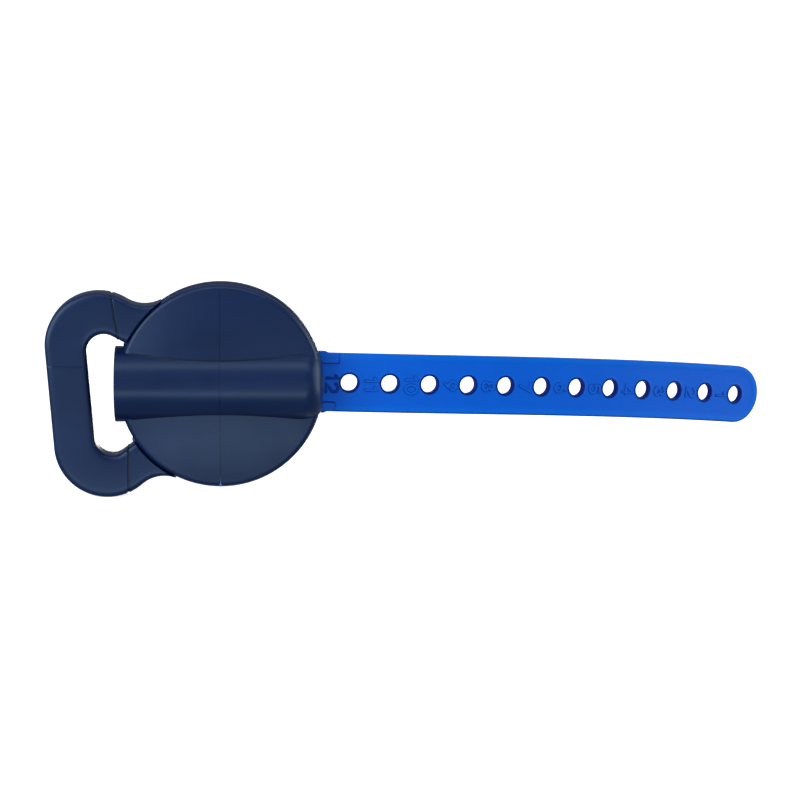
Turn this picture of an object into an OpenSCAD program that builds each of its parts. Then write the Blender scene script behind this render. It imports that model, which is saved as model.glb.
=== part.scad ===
// Sock aid: a shallow domed disc with a moulded tube, a D-shaped grip that
// swivels on a ring between the disc's two shells, and a numbered flexible strap
// hinged in the disc. Millimetres. +X runs from the disc towards the strap's tip,
// +Z is up, and the dome faces -Y. The origin is on the disc's axis at the tube's axis.

/* [Disc] */
// Radius of the round body at its rim
disc_r = 63; // [61.5:0.5:63.5]
// Height of the dome's crown in front of the tube's axis
crown_z = 17; // [16:0.5:19]
// Radius of the dome's shallow curve
dome_curve_r = 334; // [300:10:420]
// Depth of the rear bowl behind the tube's axis
bowl_depth = 26.5; // [26:0.5:30]
// Wall thickness of the two shells
wall = 2.5; // [2:0.1:2.8]

/* [Tube] */
// Outer radius of the moulded tube
tube_r = 23.5; // [23:0.1:23.6]
// Distance from the disc's axis to the tube's open end
tube_reach = 65; // [64.5:0.5:75]
// Inner radius of the tube's liner
liner_r = 19.1; // [16:0.1:19.4]
// Depth of the socket from its mouth
socket_depth = 90; // [70:1:90]

/* [Grip] */
// Distance from the disc's axis to the grip's outer edge
grip_reach = 106; // [104:1:116]
// Half of the grip's height
grip_half = 64; // [63:0.5:65]
// Width of the grip's bar
bar_w = 25.7; // [21:0.1:26]
// Thickness of the grip from front to back
grip_thick = 21; // [18:0.5:21]
// Angle that the grip hangs below the tube, at rest on its stop
rest_drop = 4.7; // [3:0.1:4.7]

/* [Strap] */
// Width of the strap
strap_w = 36.6; // [30:0.1:37]
// Thickness of the strap
strap_t = 3.8; // [3:0.1:3.8]
// Distance between neighbouring holes
hole_pitch = 25.4; // [24:0.1:26]
// Diameter of each hole
hole_d = 10.5; // [10.1:0.1:12]
// Number of holes
hole_count = 12; // [8:1:12]

/* [Hidden] */

eps = 0.5;              // overshoot of a cut past the face it opens
seam_z = 4.4;           // underside of the dome's rim
rim_fillet = 3.5;       // rounding of the dome's rim
crown_n = 14;           // flat steps along the dome's curve
end_fillet = 10.9;      // rounding of the tube's closed end
ring_top = 4;           // swivel ring, front face
ring_bottom = -5.6;     // swivel ring, rear face
ring_in = 57;           // swivel ring, bore that turns on the bowl's collar
ring_out = disc_r + 0.5;
end_out = disc_r + 2;   // swivel ring's thicker ends, between its arms and the tube
end_reach = 37;
tube_play = 0.35;       // ring's ends to the tube, at both stops
collar_out = ring_in - 0.4;
collar_in = collar_out - 2.6;
bowl_top = -6;          // rear bowl, front edge
bowl_floor_r = 52;      // rear bowl, radius of its flat back
tube_end = 28;          // closed end of the socket, outside its end wall
seat_r = liner_r + 1.5;  // liner's outside, and the tube's bore
post_x = 30;            // screw posts
post_y = 40;
post_r = 3.7;
screw_r = 1.5;
groove_x = 60.1;        // joint between the ring's arms and the grip, at its inner edge
groove_y = 36;
groove_slant = 0.079;
corner_r = grip_half / 2 + 1;
arm_fillet = 21.8;      // hollow where an arm runs into the ring
arm_gap = 0.9;          // thick part of an arm to the dome's rim
grip_z = 1;             // grip's mid thickness
window_half = 37.8;     // half height of the grip's window at the bar
window_r = 10.7;
pin_x = 48.5;           // strap hinge
pin_z = -7.9;
pin_r = 2;
knuckle_r = 4.3;
slot_half = 20.2;       // half width of the strap's slot in the bowl
root_z = -8.6;          // strap's mid thickness where it leaves the disc
first_hole = 16.3;      // along the strap from the rim to the first hole
tip_past = 1.1;         // tip circle's centre past the last hole
strap_n = 28;           // flat steps along the strap
stud_x = -20;           // button on the back, for the strap's holes
stud_neck_r = 5;
stud_head_r = 7.6;

// Turns the drawing plane, x right, y up and z to the front, into the part's frame
module upright() rotate([90, 0, 0]) children();

// The grip's own axis hangs by rest_drop below the tube's axis
module hung() rotate(rest_drop) children();

function crown_at(r, inset) =
    crown_z - inset - (dome_curve_r - sqrt(pow(dome_curve_r, 2) - r * r));

// Half section of the dome, from its axis out over the rim and down to the seam
function dome_section(inset, low) =
    let (rim = disc_r - inset, f = max(rim_fillet - inset, 1), top = crown_at(rim - f, inset))
    concat([[0, low]],
           [for (i = [0:crown_n]) [(rim - f) * i / crown_n, crown_at((rim - f) * i / crown_n, inset)]],
           [for (a = [72:-9:0]) [rim - f + f * cos(a), top - f + f * sin(a)]],
           [[rim, low]]);

module dome_mass(inset, low)
    rotate_extrude($fn = 144) polygon(dome_section(inset, low));

// Round bar along x with its far end rounded
module tube_mass(r, x0, x1, f)
    translate([x0, 0, 0]) rotate([0, 90, 0]) rotate_extrude($fn = 96)
        polygon(concat([[0, 0], [r, 0]],
                       [for (a = [0:7.5:90]) [r - f + f * cos(a), x1 - x0 - f + f * sin(a)]],
                       [[0, x1 - x0]]));

module rod_x(r, x0, x1) translate([x0, 0, 0]) rotate([0, 90, 0]) cylinder(r = r, h = x1 - x0, $fn = 96);

module at_posts() for (x = [-1, 1], y = [-1, 1]) translate([x * post_x, y * post_y, 0]) children();

// Front shell: dome, hump over the strap's anchor, tube and four screw posts
module dome_shell() color([0.11, 0.18, 0.31]) upright() difference() {
    union() {
        difference() {
            union() {
                dome_mass(0, seam_z);
                intersection() {
                    tube_mass(tube_r, 0, disc_r, end_fillet);
                    translate([0, -tube_r - 1, seam_z]) cube([disc_r + 1, 2 * tube_r + 2, tube_r]);
                }
            }
            dome_mass(wall, seam_z - eps);
            intersection() {
                tube_mass(tube_r - wall, 0, disc_r - wall, end_fillet - wall);
                translate([0, -tube_r, seam_z - eps]) cube([disc_r, 2 * tube_r, tube_r]);
            }
        }
        rod_x(tube_r, -tube_reach, tube_end);
        intersection() {
            at_posts() translate([0, 0, -1]) cylinder(r = post_r, h = crown_z, $fn = 48);
            dome_mass(wall / 2, -1);
        }
    }
    rod_x(seat_r, -tube_reach - eps, socket_depth - tube_reach);
    at_posts() translate([0, 0, -1 - eps]) cylinder(r = screw_r - 0.1, h = 10, $fn = 32);
}

function bowl_section(inset) =
    [[0, -bowl_depth + inset], [bowl_floor_r - inset, -bowl_depth + inset],
     for (a = [-75:15:0]) [bowl_floor_r + 4 * cos(a) - inset, -bowl_depth + 5 + 5 * sin(a) + inset * 0.4],
     [disc_r - 0.5 - inset, bowl_top - 4], [disc_r - 0.5 - inset, bowl_top + (inset > 0 ? eps : 0)],
     [0, bowl_top + (inset > 0 ? eps : 0)]];

// Rear shell: bowl with the collar that the ring turns on, slots for the tube and strap
module base_shell() color([0.10, 0.16, 0.28]) upright() difference() {
    union() {
        difference() {
            rotate_extrude($fn = 144) polygon(bowl_section(0));
            rotate_extrude($fn = 144) polygon(bowl_section(wall));
        }
        translate([0, 0, bowl_top - 3]) difference() {
            cylinder(r = collar_out, h = ring_top - bowl_top + 3 - 0.2, $fn = 144);
            translate([0, 0, -eps]) cylinder(r = collar_in, h = 20, $fn = 144);
        }
        translate([0, 0, bowl_top - 3]) difference() {
            cylinder(r = disc_r - 1, h = 3, $fn = 144);
            translate([0, 0, -eps]) cylinder(r = collar_in, h = 4, $fn = 144);
        }
        at_posts() translate([0, 0, -bowl_depth + 1]) cylinder(r = 5, h = bowl_depth - 2.2, $fn = 48);
        intersection() {
            for (y = [-1, 1]) translate([pin_x - 4.5, y * (slot_half + 2.4) - 2.4, -bowl_depth + 1])
                cube([9, 4.8, bowl_depth + bowl_top - 1]);
            rotate_extrude($fn = 144) polygon(bowl_section(1));
        }
        translate([stud_x, 0, -bowl_depth + 1]) cylinder(r = 6, h = 1.8, $fn = 48);
    }
    rod_x(tube_r + 0.4, -disc_r - 5, tube_end + 0.4);
    translate([-disc_r - 5, -tube_r - 0.4, 0]) cube([disc_r, 2 * tube_r + 0.8, 10]);
    translate([pin_x - 5.5, -slot_half, -bowl_depth - 5]) cube([40, 2 * slot_half, bowl_depth + 2.6]);
    at_posts() {
        translate([0, 0, -bowl_depth - eps]) cylinder(r = screw_r + 0.2, h = 40, $fn = 32);
        translate([0, 0, -bowl_depth - eps]) cylinder(r = 3.4, h = 6 + eps, $fn = 48);
    }
    translate([pin_x, 0, pin_z]) rotate([90, 0, 0]) cylinder(r = pin_r, h = 60, center = true, $fn = 48);
    translate([stud_x, 0, -bowl_depth - eps]) cylinder(r = 1.7, h = 6, $fn = 32);
}

// Centre of the hollow that touches both a corner's circle and the ring's
function hollow_at() =
    let (c = [grip_reach - corner_r, grip_half - corner_r], far = norm(c),
         d0 = ring_out + arm_fillet, d1 = corner_r + arm_fillet,
         a = (d0 * d0 - d1 * d1 + far * far) / (2 * far), h = sqrt(d0 * d0 - a * a))
    [a * c[0] - h * c[1], a * c[1] + h * c[0]] / far;

// Outline of the grip and the ring's arms together, in the grip's own axis
module grip_outline() {
    cx = grip_reach - corner_r;
    cy = grip_half - corner_r;
    f = hollow_at();
    difference() {
        union() {
            for (y = [-1, 1]) translate([-cx, y * cy]) circle(r = corner_r, $fn = 120);
            translate([-grip_reach, -cy]) square([corner_r, 2 * cy]);
            for (y = [-1, 1]) polygon([[-cx, y * cy], [-f[0], y * f[1]], [0, 0]]);
        }
        for (y = [-1, 1]) translate([-f[0], y * f[1]]) circle(r = arm_fillet, $fn = 96);
        window_outline();
    }
}

// Window between the bar and the disc, wider towards the disc's own edge
module window_outline() {
    x = grip_reach - bar_w;
    for (y = [-1, 1]) translate([-x + window_r, y * (window_half - window_r)]) circle(r = window_r, $fn = 72);
    polygon([[-x, -window_half + window_r], [-x, window_half - window_r],
             [-x + window_r, window_half], [-57, 31.8], [0, 31.8], [0, -31.8], [-57, -31.8],
             [-x + window_r, -window_half]]);
}

function joint_x(y) = groove_x + (abs(y) - groove_y) * groove_slant;

module beyond_joint(gap)
    polygon(concat([for (y = [-80, 80]) [-grip_reach - 1, y]],
                   [for (y = [80, 0, -80]) [-joint_x(y) - gap, y]]));

// Tongues of the ring's arms inside the grip
module tongue(play)
    for (y = [-1, 1]) translate([-groove_x - 10 - play, y * 48 - 7 - play, -4 - play])
        cube([12 + play, 14 + 2 * play, 8 + 2 * play]);

module rounded_slab(h, edge) {
    for (i = [0:2]) let (inset = edge * [1, 0.29, 0][i], z = edge * [0, 0.29, 1][i])
        translate([0, 0, -h / 2 + z]) linear_extrude(h - 2 * z)
            offset(delta = -inset) children();
}

// D-shaped hand grip
module grip() color([0.12, 0.19, 0.33]) upright() hung() difference() {
    translate([0, 0, grip_z]) rounded_slab(grip_thick, 3.5)
        intersection() { grip_outline(); beyond_joint(0.2); }
    tongue(0.15);
}

// Ring that turns on the collar, with two arms and tongues that carry the grip
module swivel_ring() color([0.10, 0.16, 0.29]) upright() hung() {
    difference() {
        translate([0, 0, ring_bottom]) linear_extrude(ring_top - ring_bottom) {
            circle(r = ring_out, $fn = 144);
            intersection() {
                circle(r = end_out, $fn = 144);
                translate([-disc_r - 5, -end_reach]) square([disc_r, 2 * end_reach]);
            }
        }
        translate([0, 0, ring_bottom - eps]) cylinder(r = ring_in, h = 20, $fn = 144);
        for (a = [-1, 0, 1]) rotate(a * rest_drop)
            translate([-disc_r - 5, -tube_r - tube_play, ring_bottom - eps])
                cube([disc_r + 5, 2 * (tube_r + tube_play), 20]);
    }
    difference() {
        translate([0, 0, grip_z - grip_thick / 2]) linear_extrude(grip_thick) difference() {
            grip_outline();
            beyond_joint(0);
            circle(r = ring_out - 1.5, $fn = 144);
        }
        for (z = [ring_top - 0.4, ring_bottom + 0.4 - 20]) translate([0, 0, z])
            cylinder(r = disc_r + arm_gap, h = 20, $fn = 144);
    }
    tongue(0);
}

// Soft sleeve that lines the tube
module socket_liner() color([0.16, 0.17, 0.19]) upright() difference() {
    rod_x(seat_r - 0.05, -tube_reach, socket_depth - tube_reach - 0.2);
    rod_x(liner_r, -tube_reach - eps, socket_depth - tube_reach - 2);
}

tip_circle = first_hole + hole_pitch * (hole_count - 1) + tip_past;
strap_len = tip_circle + strap_w / 2 + 2;

// Slope of the strap away from the front, in degrees, at a length from the rim
function bend(s) = let (u = (s - first_hole) / hole_pitch - 0.5) 10.5 + 4.57 * u - 0.198 * u * u;
// Slope of the strap's sag across its width
function sag(s) = 2.26 + 6.4 * s / strap_len;

// Points on the strap's centre line: [x, y, z] at equal steps from the rim
function strap_line(i = 0, p = [disc_r, 0, root_z]) = i > strap_n ? [] :
    let (d = strap_len / strap_n, s = (i + 0.5) * d,
         next = p + d * [cos(bend(s)), -tan(sag(s)), -sin(bend(s))])
    concat([p], strap_line(i + 1, next));

line = strap_line();

function on_line(s) = let (t = s / strap_len * strap_n, i = min(floor(t), strap_n - 1), f = t - i)
    line[i] * (1 - f) + line[i + 1] * f;

module at_strap(s) translate(on_line(s)) rotate([0, bend(s), 0]) rotate(-sag(s)) children();

// Side view of the strap: the centre line thickened to both faces
module strap_side()
    polygon(concat(
        [[pin_x, root_z + strap_t / 2]],
        [for (i = [0:strap_n]) let (a = bend(i * strap_len / strap_n))
            [line[i][0] + strap_t / 2 * sin(a), line[i][2] + strap_t / 2 * cos(a)]],
        [for (i = [strap_n:-1:0]) let (a = bend(i * strap_len / strap_n))
            [line[i][0] - strap_t / 2 * sin(a), line[i][2] - strap_t / 2 * cos(a)]],
        [[pin_x, root_z - strap_t / 2]]));

// Front view of the strap, with the wider root inside the disc
module strap_front() {
    polygon(concat([for (i = [0:4:strap_n]) [line[i][0], line[i][1] + strap_w / 2]],
                   [for (i = [strap_n:-4:0]) [line[i][0], line[i][1] - strap_w / 2]]));
    translate([pin_x - 1, -strap_w / 2 - 1]) square([disc_r + 3.3 - pin_x + 1, strap_w + 2]);
}

// Flexible strap with its row of holes and its hinge knuckle
module strap() color([0.05, 0.35, 0.88]) upright() difference() {
    union() {
        intersection() {
            rotate([90, 0, 0]) linear_extrude(150, center = true) strap_side();
            translate([0, 0, -200]) linear_extrude(260) strap_front();
        }
        translate([pin_x, 0, pin_z]) rotate([90, 0, 0])
            cylinder(r = knuckle_r, h = strap_w + 2, center = true, $fn = 64);
    }
    at_strap(tip_circle) linear_extrude(60, center = true) difference() {
        translate([0, -strap_w]) square([60, 2 * strap_w]);
        circle(r = strap_w / 2 - 0.02, $fn = 96);
    }
    for (i = [0:hole_count - 1]) at_strap(first_hole + i * hole_pitch)
        cylinder(r = hole_d / 2, h = 4 * strap_t, center = true, $fn = 72);
    translate([pin_x, 0, pin_z]) rotate([90, 0, 0])
        cylinder(r = pin_r + 0.08, h = strap_w + 6, center = true, $fn = 48);
}

// Steel pin through the strap's knuckle
module strap_pin() color([0.7, 0.7, 0.72]) upright() translate([pin_x, 0, pin_z])
    rotate([90, 0, 0]) cylinder(r = pin_r - 0.02, h = 2 * slot_half + 7, center = true, $fn = 48);

// Button on the back that the strap's holes press over
module strap_stud() color([0.12, 0.19, 0.33]) upright() translate([stud_x, 0, -bowl_depth])
    rotate([180, 0, 0]) rotate_extrude($fn = 72)
        polygon([[1.7, 0.1], [stud_neck_r, 0.1], [stud_neck_r, 4.6], [stud_head_r, 5.6],
                 for (a = [0:30:90]) [stud_head_r - 2 + 2 * cos(a), 6.6 + 2 * sin(a)], [3.2, 8.6],
                 [3.2, 6.6], [1.7, 6.6]]);

// Screw that holds the button
module stud_screw() color([0.7, 0.7, 0.72]) upright() translate([stud_x, 0, -bowl_depth])
    rotate([180, 0, 0]) {
        translate([0, 0, 6.6]) cylinder(r = 3, h = 1.7, $fn = 48);
        translate([0, 0, -2.5]) cylinder(r = 1.6, h = 9.5, $fn = 48);
    }

// Four screws that hold the two shells together
module shell_screws() color([0.7, 0.7, 0.72]) upright() at_posts() translate([0, 0, -bowl_depth + 3.8]) {
    cylinder(r = 2.9, h = 2.2, $fn = 48);
    cylinder(r = screw_r - 0.12, h = 25, $fn = 32);
}

// Non-slip ring on the flat back
module back_pad() color([0.15, 0.16, 0.18]) upright() translate([0, 0, -bowl_depth - 2]) difference() {
    cylinder(r = 36, h = 2, $fn = 120);
    translate([0, 0, -eps]) cylinder(r = 30, h = 3, $fn = 120);
}

dome_shell();
base_shell();
swivel_ring();
grip();
socket_liner();
strap();
strap_pin();
strap_stud();
stud_screw();
shell_screws();
back_pad();
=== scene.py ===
"""Looks of the sock aid: moulded navy shells and grip, and a translucent blue strap with raised numbers.

Millimetres in a front view, x right, y up and z towards the viewer, become metres in the
part's frame through place(). The strap, the grip and the swivel ring get finer meshes here.
"""

import math

import bmesh
import bpy
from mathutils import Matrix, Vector


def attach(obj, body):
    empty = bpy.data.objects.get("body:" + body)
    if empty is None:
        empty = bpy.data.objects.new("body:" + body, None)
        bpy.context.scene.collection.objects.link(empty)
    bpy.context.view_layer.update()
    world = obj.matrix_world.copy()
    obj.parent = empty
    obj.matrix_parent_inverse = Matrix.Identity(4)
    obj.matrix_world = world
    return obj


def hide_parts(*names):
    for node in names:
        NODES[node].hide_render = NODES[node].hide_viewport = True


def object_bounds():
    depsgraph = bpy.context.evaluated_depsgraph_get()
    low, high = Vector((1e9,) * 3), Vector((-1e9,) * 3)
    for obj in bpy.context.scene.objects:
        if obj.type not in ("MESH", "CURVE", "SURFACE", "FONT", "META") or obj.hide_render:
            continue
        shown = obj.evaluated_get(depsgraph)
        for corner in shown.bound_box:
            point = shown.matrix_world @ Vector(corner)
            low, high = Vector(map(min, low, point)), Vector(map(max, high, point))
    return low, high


MM = 0.001

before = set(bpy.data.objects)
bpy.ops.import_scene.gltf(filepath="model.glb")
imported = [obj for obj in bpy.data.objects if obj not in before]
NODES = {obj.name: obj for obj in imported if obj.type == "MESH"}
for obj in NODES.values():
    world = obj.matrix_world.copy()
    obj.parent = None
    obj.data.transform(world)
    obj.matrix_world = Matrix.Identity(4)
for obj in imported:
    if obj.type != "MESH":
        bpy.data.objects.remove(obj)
cad_box = [list(corner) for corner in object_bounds()]


def place(x, y, z):
    """A point of the front view, in the part's frame."""
    return Vector((x, -z, y)) * MM


def turned(x, y, degrees):
    a = math.radians(degrees)
    return x * math.cos(a) - y * math.sin(a), x * math.sin(a) + y * math.cos(a)


# ---------------------------------------------------------------- sizes, in millimetres

DISC_R = 63.0
TUBE_R = 23.5
CROWN_Z = 17.0
CROWN_CURVE = 334.0
REST_DROP = 4.7

GRIP_REACH = 105.98
GRIP_HALF = 63.98
BAR_WIDTH = 25.7
GRIP_THICK = 21.0
GRIP_Z = 1.0
CORNER_R = GRIP_HALF / 2 + 1
WINDOW_HALF = 37.8
WINDOW_R = 10.7
WINDOW_MOUTH = (-57.0, 31.8)  # where the window's edge reaches the disc
GROOVE_X, GROOVE_Y, GROOVE_SLANT = 60.1, 36.0, 0.079
GROOVE_GAP = 1.0
BAR_CREASE_Y = 21.4
HOLLOW_R = 21.8
RING_IN, RING_OUT, RING_END_OUT = 57.0, 63.5, 65.0
RING_BACK, RING_FRONT = -5.6, 4.0
ARM_GAP = 0.9
TUBE_PLAY = 0.35

STRAP_W = 36.6
STRAP_T = 3.8
SHOULDER_W = 38.6
PITCH = 25.4
FIRST_HOLE = 16.3
HOLES = 12
HOLE_R = 5.25
TIP_CENTRE = FIRST_HOLE + PITCH * (HOLES - 1) + 0.9
ROOT_Z = -8.6
PIN_X, PIN_Z = 48.5, -7.9
KNUCKLE_R = 4.3


# ---------------------------------------------------------------- camera, light and floor

CAMERA_TILT = math.radians(9)
CAMERA_DISTANCE = 2.82
CAMERA_TARGET = Vector((0.1109, 0.0, -0.0102))
LIGHT_TARGET = Vector((0.05, 0, 0))
LIGHT_DISTANCE = 1.7


def add_camera():
    data = bpy.data.cameras.new("camera")
    data.lens = 205
    data.sensor_width = 36
    data.clip_end = 50
    camera = bpy.data.objects.new("camera", data)
    bpy.context.scene.collection.objects.link(camera)
    away = Vector((0, -math.cos(CAMERA_TILT), math.sin(CAMERA_TILT)))
    camera.location = CAMERA_TARGET + CAMERA_DISTANCE * away
    camera.rotation_euler = away.to_track_quat("Z", "Y").to_euler()
    bpy.context.scene.camera = camera


def add_area_light(name, azimuth, elevation, width, height, power):
    """A soft box that faces the object; azimuth 0 is in front of it and 90 is on its right."""
    data = bpy.data.lights.new(name, "AREA")
    data.shape = "RECTANGLE"
    data.energy = power
    data.size = width
    data.size_y = height
    light = bpy.data.objects.new(name, data)
    bpy.context.scene.collection.objects.link(light)
    a, e = math.radians(azimuth), math.radians(elevation)
    away = Vector((math.cos(e) * math.sin(a), -math.cos(e) * math.cos(a), math.sin(e)))
    light.location = LIGHT_TARGET + LIGHT_DISTANCE * away
    light.rotation_euler = away.to_track_quat("Z", "Y").to_euler()


def add_studio():
    world = bpy.data.worlds.new("studio")
    bpy.context.scene.world = world
    world.use_nodes = True
    background = world.node_tree.nodes["Background"]
    background.inputs["Color"].default_value = (0.85, 0.93, 1, 1)
    background.inputs["Strength"].default_value = 0.22
    add_area_light("front_low", -4, -22, 1.5, 0.22, 4.4)
    add_area_light("front", 18, 3, 1.4, 0.35, 1)
    add_area_light("front_high", 0, 64, 1.6, 0.5, 5)
    add_area_light("left", -50, 18, 1.5, 1.5, 20)
    add_area_light("right", 98, 10, 1.6, 1.6, 14)
    add_area_light("top", 0, 100, 1.8, 1.2, 2)
    add_area_light("below", 0, -112, 1.4, 0.8, 1.4)
    add_area_light("back", 180, -9, 0.6, 0.5, 8)
    bpy.context.scene.view_settings.view_transform = "Standard"


def add_floor():
    """A white sheet that shows to the camera only, so the soft boxes alone shape the reflections."""
    lowest = cad_box[0][2]
    size = 12.0
    data = bpy.data.meshes.new("floor")
    corners = [(-size, -size), (size, -size), (size, size), (-size, size)]
    data.from_pydata([(x, y, lowest) for x, y in corners], [], [(0, 1, 2, 3)])
    floor = bpy.data.objects.new("floor", data)
    bpy.context.scene.collection.objects.link(floor)
    floor.visible_diffuse = False
    floor.visible_glossy = False
    floor.visible_shadow = False
    material, shader, _ = new_material("floor", (0.9, 0.9, 0.9), 0.9)
    shader.inputs["Emission Color"].default_value = (1, 1, 1, 1)
    shader.inputs["Emission Strength"].default_value = 0.9
    data.materials.append(material)


# ---------------------------------------------------------------- materials


def new_material(name, colour, roughness):
    material = bpy.data.materials.new(name)
    material.use_nodes = True
    shader = material.node_tree.nodes["Principled BSDF"]
    shader.inputs["Base Color"].default_value = (*colour, 1)
    shader.inputs["Roughness"].default_value = roughness
    return material, shader, material.node_tree


def noise(tree, scale, detail=3.0, stretch=(1, 1, 1)):
    """A noise texture in object space; scale is in features per metre."""
    where = tree.nodes.new("ShaderNodeTexCoord")
    mapping = tree.nodes.new("ShaderNodeMapping")
    mapping.inputs["Scale"].default_value = stretch
    texture = tree.nodes.new("ShaderNodeTexNoise")
    texture.inputs["Scale"].default_value = scale
    texture.inputs["Detail"].default_value = detail
    tree.links.new(where.outputs["Object"], mapping.inputs["Vector"])
    tree.links.new(mapping.outputs["Vector"], texture.inputs["Vector"])
    return texture.outputs["Fac"]


def spread(tree, value, low, high):
    """Maps a texture's 0..1 to low..high."""
    node = tree.nodes.new("ShaderNodeMapRange")
    node.inputs["To Min"].default_value = low
    node.inputs["To Max"].default_value = high
    tree.links.new(value, node.inputs["Value"])
    return node.outputs["Result"]


def blend_colours(tree, factor, first, second):
    node = tree.nodes.new("ShaderNodeMix")
    node.data_type = "RGBA"
    node.inputs["A"].default_value = (*first, 1)
    node.inputs["B"].default_value = (*second, 1)
    tree.links.new(factor, node.inputs["Factor"])
    return node.outputs["Result"]


def add_bump(tree, shader, height, distance, strength):
    bump = tree.nodes.new("ShaderNodeBump")
    bump.inputs["Distance"].default_value = distance
    bump.inputs["Strength"].default_value = strength
    tree.links.new(height, bump.inputs["Height"])
    tree.links.new(bump.outputs["Normal"], shader.inputs["Normal"])


def navy_plastic(
    name="navy_plastic", dark=(0.0006, 0.0070, 0.050), light=(0.0050, 0.0210, 0.104)
):
    """Moulded plastic: soft flow marks, a fine sparked grain and an uneven satin gloss."""
    material, shader, tree = new_material(name, light, 0.4)
    flow = noise(tree, 18, detail=4, stretch=(1, 1, 2.5))
    body = blend_colours(tree, spread(tree, flow, 0, 1), dark, light)
    tree.links.new(body, shader.inputs["Base Color"])
    gloss = spread(tree, noise(tree, 40, detail=2), 0.29, 0.40)
    tree.links.new(gloss, shader.inputs["Roughness"])
    add_bump(tree, shader, noise(tree, 2600, detail=2), 0.00003, 0.3)
    shader.inputs["Specular Tint"].default_value = (0.6, 0.85, 1, 1)
    return material


def strap_plastic():
    """Blue rubbery plastic; a painted-light value on the vertices paints shade into hole walls, stroke
    walls and the lower edge, and a highlight along the border.
    """
    material, shader, tree = new_material("blue_strap", (0.004, 0.135, 0.8), 0.36)
    painted_light = tree.nodes.new("ShaderNodeAttribute")
    painted_light.attribute_name = "painted_light"
    ramp = tree.nodes.new("ShaderNodeValToRGB")
    # Painted light ramp: stop 0 is painted shade, 0.5 the strap's own blue and stop 1 a painted highlight.
    stops = ramp.color_ramp.elements
    stops[0].color = (0.0003, 0.022, 0.27, 1)
    stops[1].color = (0.0020, 0.200, 1.0, 1)
    stops.new(0.5).color = (0.0045, 0.165, 0.94, 1)
    tree.links.new(painted_light.outputs["Fac"], ramp.inputs["Fac"])
    cloud = tree.nodes.new("ShaderNodeMix")
    cloud.data_type = "RGBA"
    cloud.blend_type = "MULTIPLY"
    cloud.inputs["B"].default_value = (0.6, 0.86, 0.9, 1)
    tree.links.new(spread(tree, noise(tree, 45, detail=4), 0, 0.8), cloud.inputs["Factor"])
    tree.links.new(ramp.outputs["Color"], cloud.inputs["A"])
    tree.links.new(cloud.outputs["Result"], shader.inputs["Base Color"])
    tree.links.new(spread(tree, noise(tree, 120, detail=5), 0.3, 0.44), shader.inputs["Roughness"])
    add_bump(tree, shader, noise(tree, 900, detail=3), 0.00004, 0.3)
    shader.inputs["Subsurface Weight"].default_value = 0.08
    shader.inputs["Subsurface Radius"].default_value = (0.0005, 0.002, 0.006)
    shader.inputs["Specular IOR Level"].default_value = 0.1
    return material


def soft_rubber(name, colour):
    material, shader, tree = new_material(name, colour, 0.75)
    lighter = tuple(c * 1.7 for c in colour)
    mottle = spread(tree, noise(tree, 90, detail=5), 0, 1)
    tree.links.new(blend_colours(tree, mottle, colour, lighter), shader.inputs["Base Color"])
    tree.links.new(spread(tree, noise(tree, 200), 0.62, 0.85), shader.inputs["Roughness"])
    add_bump(tree, shader, noise(tree, 1800, detail=2), 0.00005, 0.5)
    return material


def plated_steel():
    material, shader, tree = new_material("steel", (0.55, 0.56, 0.58), 0.3)
    shader.inputs["Metallic"].default_value = 1
    gloss = spread(tree, noise(tree, 700, stretch=(1, 1, 8)), 0.22, 0.42)
    tree.links.new(gloss, shader.inputs["Roughness"])
    add_bump(tree, shader, noise(tree, 1500, stretch=(1, 1, 6)), 0.00002, 0.4)
    return material


# ---------------------------------------------------------------- meshes


def add_piece(name, mesh, material, body, stands_for=(), sharp=35):
    """Turns a bmesh into a piece that rides on a body, shaded smooth between sharp edges."""
    bmesh.ops.remove_doubles(mesh, verts=mesh.verts, dist=1e-6)
    bmesh.ops.recalc_face_normals(mesh, faces=mesh.faces)
    data = bpy.data.meshes.new(name)
    mesh.to_mesh(data)
    mesh.free()
    for face in data.polygons:
        face.use_smooth = True
    data.set_sharp_from_angle(angle=math.radians(sharp))
    piece = bpy.data.objects.new(name, data)
    bpy.context.scene.collection.objects.link(piece)
    data.materials.append(material)
    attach(piece, body)
    if stands_for:
        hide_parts(*stands_for)
    return piece


def add_rings(mesh, rings, closed=False):
    """Skins a row of equal point loops, and closes its two ends unless the row is closed."""
    loops = [[mesh.verts.new(point) for point in ring] for ring in rings]
    pairs = list(zip(loops, loops[1:])) + ([(loops[-1], loops[0])] if closed else [])
    n = len(loops[0])
    for a, b in pairs:
        for k in range(n):
            mesh.faces.new((a[k], a[(k + 1) % n], b[(k + 1) % n], b[k]))
    if not closed:
        mesh.faces.new(loops[0])
        mesh.faces.new(loops[-1][::-1])


def oval(cx, cy, rx, ry, start, end, steps):
    """Points on part of an ellipse, angles in degrees, both ends included."""
    angles = [math.radians(start + (end - start) * k / steps) for k in range(steps + 1)]
    return [(cx + rx * math.cos(a), cy + ry * math.sin(a)) for a in angles]


def arc(centre, radius, start, end, steps):
    return oval(*centre, radius, radius, start, end, steps)


def line(first, last, steps):
    return [
        (first[0] + (last[0] - first[0]) * k / steps, first[1] + (last[1] - first[1]) * k / steps)
        for k in range(steps + 1)
    ]


def mirrored(points):
    """The same outline below the axis, run the other way."""
    return [(x, -y) for x, y in reversed(points)]


def chain(*runs):
    """Joins runs of points, dropping each run's first point where it repeats the last."""
    points = list(runs[0])
    for run in runs[1:]:
        points += run[1:]
    return points


# ---------------------------------------------------------------- grip and swivel ring

GRIP_ROUND = 7.0  # how square the bar's section is: 2 is an ellipse
SECTION_STEPS = 64
END_GROWN, END_SHIFT = 0.975, 0.35  # size and length of the rounding at the groove
ARM_INNER_Y = 31.0  # where an arm's inner edge meets the disc's rim


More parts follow.
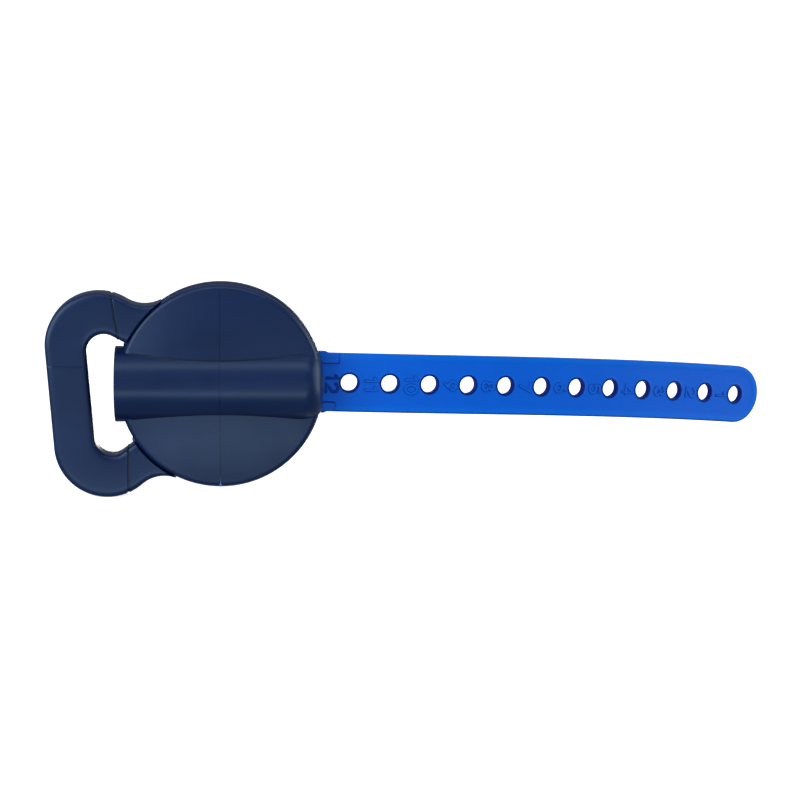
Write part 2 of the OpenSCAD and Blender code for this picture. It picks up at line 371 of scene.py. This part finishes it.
def section():
    """Unit section as (across, forward) pairs: a rounded rectangle with crowned faces."""
    power = 2 / GRIP_ROUND
    angles = [2 * math.pi * k / SECTION_STEPS for k in range(SECTION_STEPS)]
    waves = [(math.cos(a), math.sin(a)) for a in angles]
    return [
        (math.copysign(abs(c) ** power, c), math.copysign(abs(s) ** power, s)) for c, s in waves
    ]


def bar_ring(outer, inner, grown=1.0, shift=0.0, side=1, deep=1.0):
    """One loop between an outer and an inner edge point of the grip, in its hung place."""
    ring = []
    for across, forward in section():
        f = (1 + across * grown) / 2
        x = inner[0] + (outer[0] - inner[0]) * f + shift
        y = inner[1] + (outer[1] - inner[1]) * f
        x, y = turned(x, side * y, REST_DROP)
        ring.append(place(x, y, GRIP_Z + forward * GRIP_THICK / 2 * grown * deep))
    return ring


def tangent_angle(centre, radius, point):
    """Angle on a circle, in degrees, where the line from the point touches it from above."""
    dx, dy = point[0] - centre[0], point[1] - centre[1]
    return math.degrees(math.atan2(dy, dx) + math.acos(radius / math.hypot(dx, dy)))


CORNER = (-(GRIP_REACH - CORNER_R), GRIP_HALF - CORNER_R)
WINDOW_CORNER = (-(GRIP_REACH - BAR_WIDTH) + WINDOW_R, WINDOW_HALF - WINDOW_R)
WINDOW_TURN = tangent_angle(WINDOW_CORNER, WINDOW_R, WINDOW_MOUTH)


def window_edge_at(x):
    """Height of the window's straight edge at x, from its corner to its mouth."""
    a = math.radians(WINDOW_TURN)
    touch = (WINDOW_CORNER[0] + WINDOW_R * math.cos(a), WINDOW_CORNER[1] + WINDOW_R * math.sin(a))
    slope = (WINDOW_MOUTH[1] - touch[1]) / (WINDOW_MOUTH[0] - touch[0])
    return touch[1] + slope * (x - touch[0])


def groove_ends(gap):
    """Where the slanted groove, moved by gap, meets the grip's outer and inner edges."""
    outer_angle, inner_x = math.radians(50), -GROOVE_X
    for _ in range(8):
        y = CORNER[1] + CORNER_R * math.sin(outer_angle)
        x = -(GROOVE_X + (y - GROOVE_Y) * GROOVE_SLANT) - gap
        outer_angle = math.acos((x - CORNER[0]) / CORNER_R)
        inner_x = -(GROOVE_X + (window_edge_at(inner_x) - GROOVE_Y) * GROOVE_SLANT) - gap
    return math.degrees(outer_angle), inner_x


def grip_edges():
    """Outer and inner edge of the grip as equal rows of points, from its top end to its bottom."""
    outer_angle, inner_x = groove_ends(GROOVE_GAP / 2)
    arm_steps, corner_steps = 8, 36
    outer_half = chain(
        arc(CORNER, CORNER_R, outer_angle, outer_angle + 5, arm_steps),
        arc(CORNER, CORNER_R, outer_angle + 5, 180, corner_steps),
    )
    touch = arc(WINDOW_CORNER, WINDOW_R, WINDOW_TURN, 180, corner_steps)
    inner_half = chain(line((inner_x, window_edge_at(inner_x)), touch[0], arm_steps), touch)
    fractions = [0.15, 0.32, 0.5, 0.68, 0.85]
    crease = [(1 - (BAR_CREASE_Y + d) / CORNER[1]) / 2 for d in (1.2, 0.35, 0, -0.35, -1.2)]
    bar_out, bar_in = [outer_half[-1]], [inner_half[-1]]
    for f in sorted(fractions + crease) + [1.0]:
        bar_out.append((-GRIP_REACH, CORNER[1] * (1 - 2 * f)))
        bar_in.append((inner_half[-1][0], WINDOW_CORNER[1] * (1 - 2 * f)))
    outer = chain(outer_half, bar_out, mirrored(outer_half))
    inner = chain(inner_half, bar_in, mirrored(inner_half))
    return outer, inner


def add_grip(material):
    outer, inner = grip_edges()
    mesh = bmesh.new()
    rings = [bar_ring(outer[0], inner[0], END_GROWN)]
    for o, i in zip(outer, inner):
        creased = abs(o[0] + GRIP_REACH) < 0.01 and abs(o[1] - BAR_CREASE_Y) < 0.01
        at_end = o in (outer[0], outer[-1])
        rings.append(bar_ring(o, i, 0.985 if creased else 1.0, -END_SHIFT if at_end else 0))
    rings.append(bar_ring(outer[-1], inner[-1], END_GROWN))
    add_rings(mesh, rings)
    return add_piece("grip_body", mesh, material, "handle", ["grip"], sharp=50)


def hollow_centre():
    """Centre of the hollow between the arm's outer edge and the ring."""
    far = math.hypot(*CORNER)
    from_ring, from_corner = RING_OUT + HOLLOW_R, CORNER_R + HOLLOW_R
    along = (from_ring**2 - from_corner**2 + far**2) / (2 * far)
    off = math.sqrt(from_ring**2 - along**2)
    ux, uy = CORNER[0] / far, CORNER[1] / far
    return along * ux + off * uy, along * uy - off * ux


def arm_rings(side):
    """Loops of one arm from its groove to the curve where it meets the disc's rim."""
    start_angle, start_x = groove_ends(-GROOVE_GAP / 2)
    hollow = hollow_centre()
    to_corner = math.degrees(math.atan2(CORNER[1] - hollow[1], CORNER[0] - hollow[0]))
    to_ring = math.degrees(math.atan2(-hollow[1], -hollow[0]))
    outer = chain(
        arc(CORNER, CORNER_R, start_angle, to_corner + 180, 6),
        arc(hollow, HOLLOW_R, to_corner % 360, to_ring % 360 - 6, 24),
    )
    rim = DISC_R + ARM_GAP
    end = outer[-1]
    inner_end = (-math.sqrt(rim**2 - ARM_INNER_Y**2), ARM_INNER_Y)
    inner = line((start_x, window_edge_at(start_x)), inner_end, len(outer) - 1)
    end_angle, inner_angle = math.atan2(end[1], end[0]), math.atan2(inner_end[1], inner_end[0])
    rings = [bar_ring(outer[0], inner[0], END_GROWN, 0, side)]
    n = len(outer) - 1
    for k in range(n + 1):
        ring = []
        for across, forward in section():
            f = (1 + across) / 2
            x = inner[k][0] + (outer[k][0] - inner[k][0]) * f + (END_SHIFT if k == 0 else 0)
            y = inner[k][1] + (outer[k][1] - inner[k][1]) * f
            a = inner_angle + (end_angle - inner_angle) * f
            x += (rim * math.cos(a) - (inner_end[0] + (end[0] - inner_end[0]) * f)) * k / n
            y += (rim * math.sin(a) - (inner_end[1] + (end[1] - inner_end[1]) * f)) * k / n
            x, y = turned(x, side * y, REST_DROP)
            ring.append(place(x, y, GRIP_Z + forward * GRIP_THICK / 2))
        rings.append(ring)
    return rings


def add_groove_shade(material):
    """Painted shade: dark strips set into the bottoms of the grooves between the ring's arms and the grip.
    """
    mesh = bmesh.new()
    angle, x = groove_ends(-GROOVE_GAP / 2)
    outer, inner = arc(CORNER, CORNER_R, angle, angle, 1)[0], (x, window_edge_at(x))
    for side in (1, -1):
        add_rings(mesh, [
            bar_ring(outer, inner, 0.985, shift, side, 0.94) for shift in (0.3, -GROOVE_GAP - 0.3)
        ])
    return add_piece("groove_shade", mesh, material, "handle")


def ring_end(radius):
    """Angle from the grip's axis at which the ring stops, parallel to the tube at its limit."""
    return REST_DROP + math.degrees(math.asin((TUBE_R + TUBE_PLAY) / radius))


def add_swivel_ring(material):
    """The ring between the shells, thicker at its two rounded ends, with the two arms."""
    mesh = bmesh.new()
    edge = 0.6
    steps = 200
    rows = [(0.0, 0.5), (0.002, 0.86)] + [(0.005 + 0.99 * k / steps, 1.0) for k in range(steps + 1)]
    rows += [(0.998, 0.86), (1.0, 0.5)]
    rings = []
    for u, grown in rows:
        from_end = min(u, 1 - u) * 2 * (180 - ring_end(RING_OUT))
        thick = max(0.0, min(1.0, (20 - from_end) / 1.5))
        outside = RING_OUT + (RING_END_OUT - RING_OUT) * thick
        profile = [
            (RING_IN + edge, RING_BACK), (outside - edge, RING_BACK), (outside, RING_BACK + edge),
            (outside, RING_FRONT - edge), (outside - edge, RING_FRONT), (RING_IN + edge, RING_FRONT),
            (RING_IN, RING_FRONT - edge), (RING_IN, RING_BACK + edge),
        ]
        middle = ((RING_IN + outside) / 2, (RING_BACK + RING_FRONT) / 2)
        ring = []
        for r, z in profile:
            half = 180 - ring_end(r)
            a = math.radians(-half + 2 * half * u + REST_DROP)
            r = middle[0] + (r - middle[0]) * grown
            z = middle[1] + (z - middle[1]) * grown
            ring.append(place(r * math.cos(a), r * math.sin(a), z))
        rings.append(ring)
    add_rings(mesh, rings)
    for side in (1, -1):
        add_rings(mesh, arm_rings(side))
    return add_piece(
        "ring_with_arms", mesh, material, "handle", ["swivel_ring"], sharp=50
    )


# ---------------------------------------------------------------- strap

LINE_STEP = 0.5
BEND_START = 6  # mm inside the rim where the strap's bend begins


def strap_slope(s):
    """How far the strap leans back at s mm from the rim, in degrees; straight inside the disc."""
    u = (max(s, 0) - FIRST_HOLE) / PITCH - 0.5
    slope = 10.5 + 4.57 * u - 0.198 * u * u
    return slope * min(1, max(0, (s + BEND_START) / BEND_START))


def strap_sag(s):
    length = TIP_CENTRE + STRAP_W / 2 + 2
    return (2.26 + 6.4 * max(s, 0) / length) * min(1, max(0, (s + BEND_START) / BEND_START))


def strap_points():
    """The strap's centre line from its pin to past its tip, every LINE_STEP mm."""
    points = [Vector((PIN_X, 0, ROOT_Z))]
    s = PIN_X - DISC_R
    while s < TIP_CENTRE + STRAP_W:
        lean, sag = math.radians(strap_slope(s)), math.radians(strap_sag(s))
        step = Vector((math.cos(lean), -math.tan(sag), -math.sin(lean)))
        points.append(points[-1] + LINE_STEP * step)
        s += LINE_STEP
    return points


STRAP_LINE = strap_points()


def on_strap(s, t, h):
    """A point s mm along the strap from the rim, t mm up across it and h mm in front of its middle."""
    f = (s - (PIN_X - DISC_R)) / LINE_STEP
    k = max(0, min(int(f), len(STRAP_LINE) - 2))
    p = STRAP_LINE[k].lerp(STRAP_LINE[k + 1], f - k)
    lean, sag = math.radians(strap_slope(s)), math.radians(strap_sag(s))
    side = Vector((math.sin(sag) * math.cos(lean), math.cos(sag), -math.sin(sag) * math.sin(lean)))
    front = Vector((math.sin(lean), 0, math.cos(lean)))
    p = p + side * t + front * h
    return place(p.x, p.y, p.z)


SIDE_STEPS = 18
RECESS = 0.25  # depth of the strap's field
BORDER = 3.4  # width of the raised border along its edges
LIP = 1.4  # width of the raised ring round a hole


def hole_cell(centre, last):
    """Outline of the stretch of strap round one hole, anticlockwise from its lower left corner."""
    left, half = centre - PITCH / 2, STRAP_W / 2
    up = line((left, -half), (left, half), SIDE_STEPS)
    if not last:
        right = centre + PITCH / 2
        along = line((left, half), (right, half), SIDE_STEPS)
        down = line((right, half), (right, -half), SIDE_STEPS)
        back = line((right, -half), (left, -half), SIDE_STEPS)
    else:
        along = line((left, half), (TIP_CENTRE, half), SIDE_STEPS)
        down = arc((TIP_CENTRE, 0), half, 90, -90, 4 * SIDE_STEPS)
        back = line((TIP_CENTRE, -half), (left, -half), SIDE_STEPS)
    return chain(up, along, down, back)[:-1]


def smooth(low, high, value):
    f = max(0.0, min(1.0, (value - low) / (high - low)))
    return f * f * (3 - 2 * f)


def half_width(s):
    return (SHOULDER_W + (STRAP_W - SHOULDER_W) * smooth(0.5, 3.2, s)) / 2


def edge_inset(s, t):
    """Distance from a point on the strap to its long edge or its round tip."""
    if s > TIP_CENTRE:
        return STRAP_W / 2 - math.hypot(s - TIP_CENTRE, t)
    return half_width(s) - abs(t)


def hole_distance(s, t):
    """Distance from a point on the strap to the edge of the nearest hole."""
    i = max(0, min(HOLES - 1, round((s - FIRST_HOLE) / PITCH)))
    return math.hypot(s - FIRST_HOLE - i * PITCH, t) - HOLE_R


def front_height(s, t):
    """The front is recessed a little between its border and the lips round the holes."""
    off_border = smooth(BORDER - 0.5, BORDER + 0.4, edge_inset(s, t))
    off_lip = smooth(LIP - 0.5, LIP + 0.4, hole_distance(s, t))
    return STRAP_T / 2 - RECESS * (off_border * off_lip) * smooth(0, 3, s)


def strap_painted_light(s, t):
    """Painted light: 0 is the deepest painted shade, 0.5 is the strap's body and 1 its brightest painted
    highlight on an edge.
    """
    inset, away = edge_inset(s, t), hole_distance(s, t)
    # Painted highlight on the raised border along the long edges and the tip.
    painted_light = 0.5 + 0.45 * (1 - smooth(BORDER - 0.8, BORDER + 0.8, inset))
    # Painted shade along the lower edge.
    if t < 0:
        painted_light -= 0.9 * (1 - smooth(0.4, 1.4, inset))
    # Painted highlight on the lip round each hole.
    painted_light += 0.15 * (1 - smooth(1.5, 3.5, away))
    # Painted shade down into each hole.
    return painted_light - 1.1 * (1 - smooth(0.6, 1.6, away))


def add_sheet(mesh, quads):
    """Front and back faces for flat quads of (s, t) points, and walls along their open edges."""
    painted_light_layer = mesh.verts.layers.float.new("painted_light")
    front, back, count = {}, {}, {}

    def vertex(store, point, h):
        key = (round(point[0], 4), round(point[1], 4))
        if key not in store:
            store[key] = mesh.verts.new(on_strap(point[0], point[1], h))
            store[key][painted_light_layer] = strap_painted_light(*point)
        return store[key]

    for quad in quads:
        mesh.faces.new([vertex(front, p, front_height(*p)) for p in quad])
        mesh.faces.new([vertex(back, p, -STRAP_T / 2) for p in reversed(quad)])
        for a, b in zip(quad, quad[1:] + quad[:1]):
            key = frozenset(((round(a[0], 4), round(a[1], 4)), (round(b[0], 4), round(b[1], 4))))
            count.setdefault(key, []).append((a, b))
    for uses in count.values():
        if len(uses) == 1:
            a, b = uses[0]
            mesh.faces.new([
                vertex(front, b, 0), vertex(front, a, 0), vertex(back, a, 0), vertex(back, b, 0),
            ])


def strap_quads():
    quads = []
    growth = [0, 0.035, 0.07, 0.11, 0.16, 0.24, 0.36, 0.5, 0.63, 0.73, 0.8, 0.86, 0.91, 0.96, 1]
    for i in range(HOLES):
        centre = FIRST_HOLE + i * PITCH
        outline = hole_cell(centre, i == HOLES - 1)
        loops = []
        for f in growth:
            loop = []
            for x, y in outline:
                a = math.atan2(y, x - centre)
                rim = (centre + HOLE_R * math.cos(a), HOLE_R * math.sin(a))
                loop.append((rim[0] + (x - rim[0]) * f, rim[1] + (y - rim[1]) * f))
            loops.append(loop)
        n = len(outline)
        for a, b in zip(loops, loops[1:]):
            quads += [[a[k], b[k], b[(k + 1) % n], a[(k + 1) % n]] for k in range(n)]
    start, end = PIN_X - DISC_R, FIRST_HOLE - PITCH / 2
    stations = [start, -11, -8, -6, -4, -2, -0.5, 1.0, 2.2, 3.2, end]
    for a, b in zip(stations, stations[1:]):
        low, high = half_width(a), half_width(b)
        for k in range(SIDE_STEPS):
            v0, v1 = 2 * k / SIDE_STEPS - 1, 2 * (k + 1) / SIDE_STEPS - 1
            quads.append([(a, low * v0), (b, high * v0), (b, high * v1), (a, low * v1)])
    return quads


def add_strap(material):
    mesh = bmesh.new()
    add_sheet(mesh, strap_quads())
    painted_light_layer = mesh.verts.layers.float["painted_light"]
    before = set(mesh.verts)
    half = SHOULDER_W / 2
    small = KNUCKLE_R - 0.5
    knuckle = []
    for y, r in ((-half, small), (0.5 - half, KNUCKLE_R), (half - 0.5, KNUCKLE_R), (half, small)):
        knuckle.append([
            place(PIN_X + r * math.cos(a), y, PIN_Z + r * math.sin(a))
            for a in [2 * math.pi * k / 40 for k in range(40)]
        ])
    add_rings(mesh, knuckle)
    for vertex in mesh.verts:
        if vertex not in before:
            vertex[painted_light_layer] = 0.5
    piece = add_piece("strap_band", mesh, material, "strap", ["strap"], sharp=40)
    bevel = piece.modifiers.new("rounded_edges", "BEVEL")
    bevel.width = 0.35 * MM
    bevel.segments = 3
    bevel.limit_method = "ANGLE"
    bevel.angle_limit = math.radians(50)
    return piece


DIGIT_WIDE = 0.72


def digit_strokes(digit):
    """Strokes of a digit as unit outlines, x 0..DIGIT_WIDE to the right and y 0..1 up."""
    w, m = DIGIT_WIDE, DIGIT_WIDE / 2
    return {
        "0": [oval(m, 0.5, 0.36, 0.5, 90, 450, 36)],
        "1": [[(0.12, 0.76), (0.36, 1.0), (0.36, 0.0)]],
        "2": [oval(m, 0.68, 0.34, 0.32, 165, -38, 20) + [(0.02, 0.0), (w, 0.0)]],
        "3": [oval(m, 0.74, 0.30, 0.26, 160, -90, 20) + oval(m, 0.25, 0.34, 0.25, 80, -155, 20)],
        "4": [[(0.56, 0.0), (0.56, 1.0), (0.0, 0.3), (w, 0.3)]],
        "5": [[(0.66, 1.0), (0.12, 1.0), (0.06, 0.54)] + oval(m, 0.32, 0.35, 0.32, 125, -150, 24)],
        "6": [[(0.56, 1.0), (0.18, 0.62)] + oval(m, 0.32, 0.34, 0.32, 150, 500, 34)],
        "7": [[(0.0, 1.0), (w, 1.0), (0.24, 0.0)]],
        "8": [oval(m, 0.76, 0.27, 0.24, 90, 450, 28), oval(m, 0.26, 0.34, 0.26, 90, 450, 32)],
        "9": [oval(m, 0.68, 0.34, 0.32, -30, 320, 34) + [(0.54, 0.38), (0.16, 0.0)]],
    }[digit]


DIGIT_TALL = 7.5
DIGIT_GAP = 0.38
# Section of a stroke: across it, above the strap's border, and painted light. Its walls are painted shade,
# its top is painted lighter.
STROKE = [(-1.05, -0.45, 0.1), (-1.0, -0.2, 0.1), (-0.72, 0.2, 0.15), (-0.55, 0.3, 0.65),
          (0.55, 0.3, 0.65), (0.72, 0.2, 0.15), (1.0, -0.2, 0.1), (1.05, -0.45, 0.1)]


def add_stroke(mesh, points, painted_light_scale):
    """A raised bead along (s, t) points on the strap's front, with rounded ends."""
    closed = math.dist(points[0], points[-1]) < 1e-6
    if closed:
        points = points[:-1]
    n = len(points)
    places = []
    for k, p in enumerate(points):
        a = points[k - 1] if closed or k > 0 else p
        b = points[(k + 1) % n] if closed or k < n - 1 else p
        into = Vector((p[0] - a[0], p[1] - a[1]))
        out = Vector((b[0] - p[0], b[1] - p[1]))
        into = (into if into.length > 1e-9 else out).normalized()
        out = (out if out.length > 1e-9 else into).normalized()
        along = (into + out).normalized()
        widen = min(1.6, 1 / max(0.3, along.dot(into)))
        places.append((p, along, Vector((-along.y, along.x)) * widen, 1.0, 0.0))
    if not closed:
        first, last = places[0], places[-1]
        places.insert(0, (*first[:3], 0.55, -0.8))
        places.append((*last[:3], 0.55, 0.8))
    painted_light_layer = mesh.verts.layers.float["painted_light"]
    before = set(mesh.verts)
    loops = []
    for p, along, across, size, past in places:
        loops.append([
            on_strap(
                p[0] + across.x * w * size + along.x * past,
                p[1] + across.y * w * size + along.y * past,
                STRAP_T / 2 + (h if size == 1 else min(h, 0.1)),
            )
            for w, h, _ in STROKE
        ])
    add_rings(mesh, loops, closed=closed)
    made = [v for v in mesh.verts if v not in before]
    for k, vertex in enumerate(made):
        ended = not closed and (k < len(STROKE) or k >= len(made) - len(STROKE))
        # Painted shade on the stroke's rounded ends.
        vertex[painted_light_layer] = 0.05 if ended else STROKE[k % len(STROKE)][2] * painted_light_scale


def add_numbers(material):
    """Raised numbers from 12 at the disc to 1 at the tip; their tops point to the tip."""
    mesh = bmesh.new()
    mesh.verts.layers.float.new("painted_light")
    for i in range(HOLES):
        text = str(HOLES - i)
        middle = 5.8 if i == 0 else FIRST_HOLE + (i - 0.5) * PITCH + 1.1
        widths = [DIGIT_WIDE / 2 if c == "1" else DIGIT_WIDE for c in text]
        total = sum(widths) + DIGIT_GAP * (len(text) - 1)
        pen = -total / 2
        for c, width in zip(text, widths):
            shift = -0.06 if c == "1" else 0
            for stroke in digit_strokes(c):
                points = [
                    (middle + (y - 0.5) * DIGIT_TALL, -(pen + x + shift) * DIGIT_TALL - 0.6)
                    for x, y in stroke
                ]
                # The number nearest the disc has its painted light scaled to 0.2, so it is drawn much
                # darker.
                add_stroke(mesh, points, 0.2 if i == 0 else 1.0)
            pen += width + DIGIT_GAP
    return add_piece("strap_numbers", mesh, material, "strap", sharp=30)


def add_root_pads(material):
    """Two thicker patches at the strap's root, one along each edge."""
    mesh = bmesh.new()
    painted_light_layer = mesh.verts.layers.float.new("painted_light")
    top = STRAP_T / 2 + 0.4
    for side, low, length in ((1, 11.6, 9.8), (-1, 12.1, 8.3)):
        # The third value of each profile point is its painted light: painted shade at the pad's foot,
        # lighter on its top.
        profile = [
            (low, -0.7, 0.0), (low + 0.1, -0.1, 0.0), (low + 0.6, 0, 0.15),
            (low + 1.0, 0, 0.5), (17.6, 0, 0.6), (18.1, -0.7, 0.5),
        ]
        # The second value dims that painted light towards the pad's far end, into painted shade.
        stations = [
            (-4.0, 1), (0, 1), (length * 0.5, 1), (length - 0.9, 1), (length - 0.5, 0.3), (length, 0),
        ]
        rings, pad_painted_light = [], []
        for s, light in stations:
            sunk = 0.5 if s == length else 0
            rings.append([on_strap(s, side * t, top + h - sunk) for t, h, _ in profile])
            pad_painted_light += [painted_light * light for _, _, painted_light in profile]
        before = set(mesh.verts)
        add_rings(mesh, rings)
        for vertex, painted_light in zip([v for v in mesh.verts if v not in before], pad_painted_light):
            vertex[painted_light_layer] = painted_light
    return add_piece("strap_root_pads", mesh, material, "strap", sharp=30)


# ---------------------------------------------------------------- details on the shells

MOULD_LINE_REACH = 59.6
RIM_FILLET = 3.5
NICK_TOP = 55.8  # how far below the disc's axis the pale nick begins


def dome_height(r):
    return CROWN_Z - (CROWN_CURVE - math.sqrt(CROWN_CURVE**2 - r * r))


def dome_at(y):
    """Front of the dome or tube above the vertical centre line."""
    tube = math.sqrt(TUBE_R**2 - y * y) if abs(y) < TUBE_R else -1
    return max(dome_height(y), tube)


def add_mould_line(material):
    """The fine raised line that the mould's joint leaves down the middle of the front."""
    mesh = bmesh.new()
    half, rise, steps = 0.28, 0.14, 120
    rings = []
    for k in range(steps + 1):
        y = MOULD_LINE_REACH * (2 * k / steps - 1)
        z = dome_at(y)
        top = min(z + rise, TUBE_R - 0.01)
        rings.append([place(-half, y, z - 0.25), place(-half * 0.4, y, top),
                      place(half * 0.4, y, top), place(half, y, z - 0.25)])
    add_rings(mesh, rings)
    return add_piece("mould_line_painted_shade", mesh, material, "disc", sharp=60)


def crease_y(x):
    """Half width of the tube where it comes out of the dome, x mm from the disc's axis."""
    y = 16.0
    for _ in range(12):
        y = math.sqrt(TUBE_R**2 - dome_height(math.hypot(x, y)) ** 2)
    return y


def add_tube_crease_shade(material):
    """Painted shade: a dark strip on the sharp corner line along both sides of the tube, where it comes out
    of the dome.
    """
    mesh = bmesh.new()
    steps = 80
    for side in (1, -1):
        rings = []
        for k in range(steps + 1):
            x = -55.0 + 106.0 * k / steps
            y = crease_y(x)
            z = dome_height(math.hypot(x, y))
            tube_z = math.sqrt(TUBE_R**2 - (y - 0.35) ** 2)
            rings.append([place(x, side * (y - 0.35), tube_z + 0.04), place(x, side * (y + 0.45), z + 0.04),
                          place(x, side * (y + 0.45), z - 0.5), place(x, side * (y - 0.35), z - 0.5)])
        add_rings(mesh, rings)
    return add_piece("tube_crease_shade", mesh, material, "disc", sharp=60)


def add_mould_nick(material):
    """A pale sliver of flash at the foot of the mould line, on the dome's rim."""
    mesh = bmesh.new()
    proud = RIM_FILLET + 0.1
    rim_z = dome_height(DISC_R - RIM_FILLET) - RIM_FILLET
    rings = []
    steps = 14
    for k in range(steps + 1):
        a = math.radians(72 * (1 - k / steps))
        r = DISC_R - RIM_FILLET + proud * math.cos(a) if k else NICK_TOP
        z = rim_z + proud * math.sin(a) if k else dome_height(NICK_TOP) + 0.05
        half = 0.8 * (0.25 + math.sin(math.pi * (k + 0.5) / (steps + 1)))
        rings.append([
            place(-half, -r, z - 0.2), place(0, -r - 0.06, z + 0.1), place(half, -r, z - 0.2),
        ])
    add_rings(mesh, rings)
    return add_piece("mould_nick", mesh, material, "disc", sharp=60)


# ---------------------------------------------------------------- finish


def finish_cad_node(name, material, edge=0.35):
    """Gives a CAD node its material, welds its faces and rounds its edges a little."""
    node = NODES[name]
    node.data.materials.clear()
    node.data.materials.append(material)
    weld = node.modifiers.new("weld", "WELD")
    weld.merge_threshold = 0.00001
    bevel = node.modifiers.new("soft_edges", "BEVEL")
    bevel.width = edge * MM
    bevel.segments = 2
    bevel.limit_method = "ANGLE"
    bevel.angle_limit = math.radians(40)
    even = node.modifiers.new("even_shading", "WEIGHTED_NORMAL")
    even.weight = 100
    for face in node.data.polygons:
        face.use_smooth = True


add_camera()
add_studio()
add_floor()

navy = navy_plastic()
blue = strap_plastic()
steel = plated_steel()
add_grip(navy)
add_swivel_ring(navy)
add_strap(blue)
add_numbers(blue)
add_root_pads(blue)
# Near-black navy used as painted shade for the tube creases and the groove bottoms; the raised mould line
# is real, but its near-black colour is painted shade too.
shade = navy_plastic("mould_line_painted_shade", (0.0006, 0.003, 0.020), (0.001, 0.005, 0.028))
add_mould_line(shade)
add_tube_crease_shade(shade)
add_groove_shade(shade)
add_mould_nick(navy_plastic("pale_flash", (0.08, 0.26, 0.52), (0.14, 0.36, 0.66)))
for name in ("dome_shell", "base_shell", "strap_stud"):
    finish_cad_node(name, navy)
finish_cad_node("socket_liner", soft_rubber("liner_rubber", (0.012, 0.013, 0.016)))
finish_cad_node("back_pad", soft_rubber("pad_rubber", (0.010, 0.012, 0.018)))
for name in ("strap_pin", "stud_screw", "shell_screws"):
    finish_cad_node(name, steel, edge=0.15)
